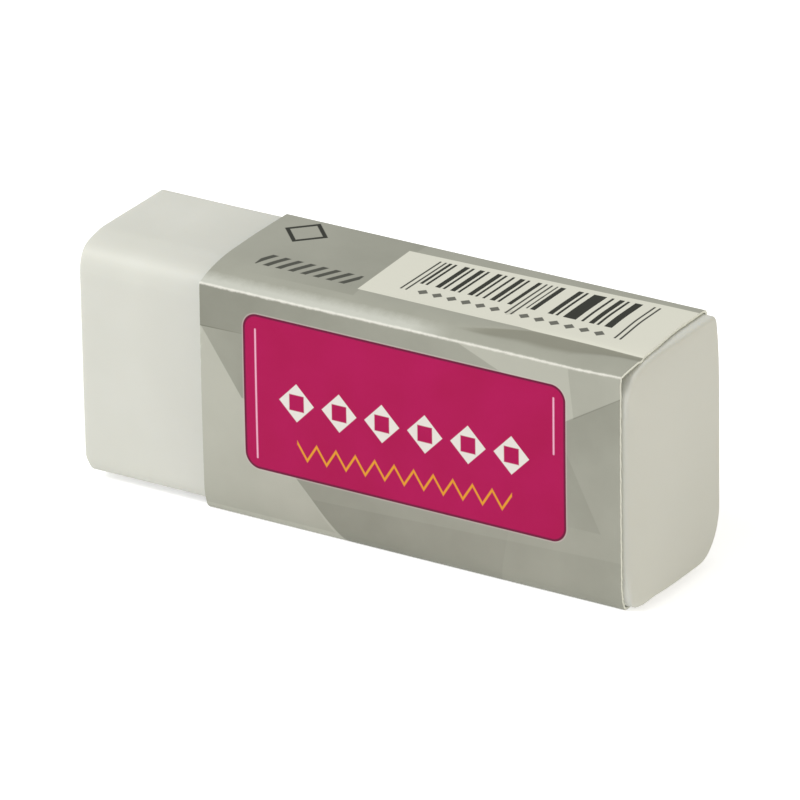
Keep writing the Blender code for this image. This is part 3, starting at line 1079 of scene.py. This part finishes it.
def make_printed_card():
    """Silver, painted crease highlight and dent shade, panel, bars, motifs; crease wear, bare card at cuts.
    """
    made, tree, shader = new_material("silver-printed folding card")
    sheet, x, v, depth = stored_values(tree, "sheet")
    from_crease, dent = stored_values(tree, "fold")[1:3]
    beyond_crease = beyond(from_crease)
    noise = add_node(
        tree, "ShaderNodeTexNoise",
        {"Vector": sheet, "Scale": RAGGED_SCALE, "Detail": 4.0, "Roughness": 0.7},
    )
    ragged = Measure(tree, noise.outputs["Fac"])
    colour = silver_ground(tree, sheet, beyond_crease)
    # Painted highlight beyond the crease.
    colour = paint_crease_highlight(tree, colour, x, from_crease, beyond_crease, ragged)
    # Painted shade in the dent.
    colour = lay_over(tree, colour, DENT_PAINTED_SHADE, dent * DENT_SHADE_STRENGTH)
    colour = print_panel(tree, colour, sheet, x, v)
    colour = print_bars(tree, colour, sheet, x, v)
    colour = print_top_motifs(tree, colour, sheet, x, v)
    colour = wear_crease(tree, colour, from_crease, ragged)
    colour = lay_over(tree, colour, CARD_INSIDE, depth.share(*BARE_DEPTH))
    fibre = add_node(tree, "ShaderNodeTexNoise", {"Vector": sheet, "Scale": FIBRE_SCALE, "Detail": 3.0})
    bump = add_node(
        tree, "ShaderNodeBump",
        {"Height": fibre.outputs["Fac"], "Strength": 0.15, "Distance": FIBRE_DEPTH * MM},
    )
    connect(tree, shader, {
        "Base Color": colour,
        "Normal": bump.outputs["Normal"],
        "Roughness": 0.42,
        "Specular IOR Level": 0.15,
    })
    return made


card_wrap.data.materials.append(make_printed_card())
print("printed card with", len(FRONT_FACETS) + len(BACK_FACETS), "facets")

# %% [markdown]
# ## The glue
#
# The strip of glue between flap and lap is the CAD node itself, because its shape is as plain as the
# real one's. Dried white glue is off-white and slightly glossy, with brush-like streaks along the line
# in which a wheel laid it down, so its noise is drawn out along X.

# %% Material of the glue
GLUE_PALE = "#E4E0D2"
GLUE_THIN = "#CFC8B2"
STREAK_SIZE = 0.6
STREAK_STRETCH = 12


def make_glue():
    """Two tones mixed by a noise that is stretched STREAK_STRETCH times along X."""
    made, tree, shader = new_material("dried white glue")
    place = add_node(tree, "ShaderNodeTexCoord").outputs["Object"]
    drawn = add_node(tree, "ShaderNodeMapping", {"Vector": place, "Scale": (1 / STREAK_STRETCH, 1.0, 1.0)})
    streak = add_node(
        tree, "ShaderNodeTexNoise", {"Vector": drawn.outputs["Vector"], "Scale": 1 / (STREAK_SIZE * MM)}
    )
    colour = lay_over(tree, GLUE_PALE, GLUE_THIN, streak.outputs["Fac"])
    connect(tree, shader, {"Base Color": colour, "Roughness": 0.3, "IOR": 1.47})
    return made


glue_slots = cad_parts["glue_strip"].data.materials
glue_slots.clear()
glue_slots.append(make_glue())
print("glue with streaks of", STREAK_SIZE, "mm")

# %% [markdown]
# ## Floor, light and camera
#
# The eraser stands on a white sheet in a light tent: the world gives even light, a broad lamp in front
# on the left adds a soft bright side, and a weaker warm one stands on the right. More light would clip
# the pale vinyl, so the floor is made white by a glow that only the camera and reflections see, and it
# still takes the eraser's soft shadow.

# %% Floor, mm
FLOOR_SIZE = 4000.0
FLOOR_DROP = 0.02
FLOOR_WHITE = "#F4F4F4"
FLOOR_GLOW = 0.55
SEEING_RAYS = ("Is Camera Ray", "Is Glossy Ray", "Is Transmission Ray")


def make_floor():
    """A square just below the eraser: diffuse light, plus a glow that the camera and reflections see."""
    made, tree, shader = new_material("white paper sheet")
    rays = add_node(tree, "ShaderNodeLightPath")
    seen = greatest(*(Measure(tree, rays.outputs[name]) for name in SEEING_RAYS))
    connect(tree, shader, {
        "Base Color": linear(FLOOR_WHITE),
        "Roughness": 0.9,
        "Specular IOR Level": 0.0,
        "Emission Color": (1.0, 1.0, 1.0, 1.0),
        "Emission Strength": (seen * FLOOR_GLOW).socket,
    })
    corners = np.array([[-1, -1], [1, -1], [1, 1], [-1, 1]]) * FLOOR_SIZE / 2
    points = np.hstack([corners, np.full((4, 1), -FLOOR_DROP)])
    mesh = bpy.data.meshes.new("floor")
    mesh.from_pydata((points * MM).tolist(), [], [[0, 1, 2, 3]])
    floor = bpy.data.objects.new("floor", mesh)
    bpy.context.scene.collection.objects.link(floor)
    mesh.materials.append(made)


make_floor()
print("floor", FLOOR_DROP, "mm below the eraser")

# %% Light
TENT_STRENGTH = 0.5
SOFTBOX_SIZE = 260.0
SOFTBOX_AIM = (0.0, 0.0, 9.0)
SOFTBOXES = (
    # name, place in mm, power in watts, colour
    ("high left softbox", (-300.0, -295.0, 425.0), 1.98, "#FFFFFF"),
    ("right softbox", (480.0, -60.0, 190.0), 0.62, "#FFF3D6"),
)

world = bpy.data.worlds.new("light tent")
bpy.context.scene.world = world
world.use_nodes = True
tent = world.node_tree.nodes["Background"]
tent.inputs["Color"].default_value = (1.0, 1.0, 0.99, 1.0)
tent.inputs["Strength"].default_value = TENT_STRENGTH


def add_softbox(name, place, power, colour):
    """A square area lamp at a place in mm, turned so that it faces the middle of the eraser."""
    data = bpy.data.lights.new(name, "AREA")
    data.size = SOFTBOX_SIZE * MM
    data.energy = power
    data.color = linear(colour)[:3]
    lamp = bpy.data.objects.new(name, data)
    lamp.location = Vector(place) * MM
    lamp.rotation_euler = (Vector(SOFTBOX_AIM) - Vector(place)).to_track_quat("-Z", "Y").to_euler()
    bpy.context.scene.collection.objects.link(lamp)


for softbox in SOFTBOXES:
    add_softbox(*softbox)
print("lit by a tent and", len(SOFTBOXES), "softboxes")

# %% [markdown]
# ## The photograph's view
#
# The camera's turn, rise and roll were worked out from the block's edges in the photograph, and its
# distance from how much they converge. Its focal length is kept in pixels of a frame 800 pixels wide,
# as it was measured, and turned into the millimetres that Blender asks for.

# %% Camera
CAMERA_TURN = 33.0
CAMERA_RISE = 23.3
CAMERA_ROLL = -0.891
CAMERA_DISTANCE = 600.0
CAMERA_AIM = (0.0, 0.0, 8.9)
AIM_OFFSET = (0.1755, -0.4412)
FOCAL_PIXELS = 9179.1
FRAME_PIXELS = 800.0
SENSOR_WIDTH = 36.0

turn, rise, roll = (math.radians(angle) for angle in (CAMERA_TURN, CAMERA_RISE, CAMERA_ROLL))
backward = Vector((math.sin(turn) * math.cos(rise), -math.cos(turn) * math.cos(rise), math.sin(rise)))
level = Vector((math.cos(turn), math.sin(turn), 0.0))
upward = backward.cross(level)
right = math.cos(roll) * level + math.sin(roll) * upward
over = math.cos(roll) * upward - math.sin(roll) * level
aim = Vector(CAMERA_AIM) + AIM_OFFSET[0] * right + AIM_OFFSET[1] * over
lens = bpy.data.cameras.new("photograph's camera")
lens.sensor_width = SENSOR_WIDTH
lens.lens = FOCAL_PIXELS * SENSOR_WIDTH / FRAME_PIXELS
lens.clip_start = 0.05
lens.clip_end = 20.0
camera = bpy.data.objects.new("camera", lens)
camera.matrix_world = Matrix.Translation((aim + CAMERA_DISTANCE * backward) * MM) @ Matrix(
    (right, over, backward)
).transposed().to_4x4()
bpy.context.scene.collection.objects.link(camera)
bpy.context.scene.camera = camera
bpy.context.scene.view_settings.view_transform = "Standard"
print("lens", round(lens.lens, 1), "mm")
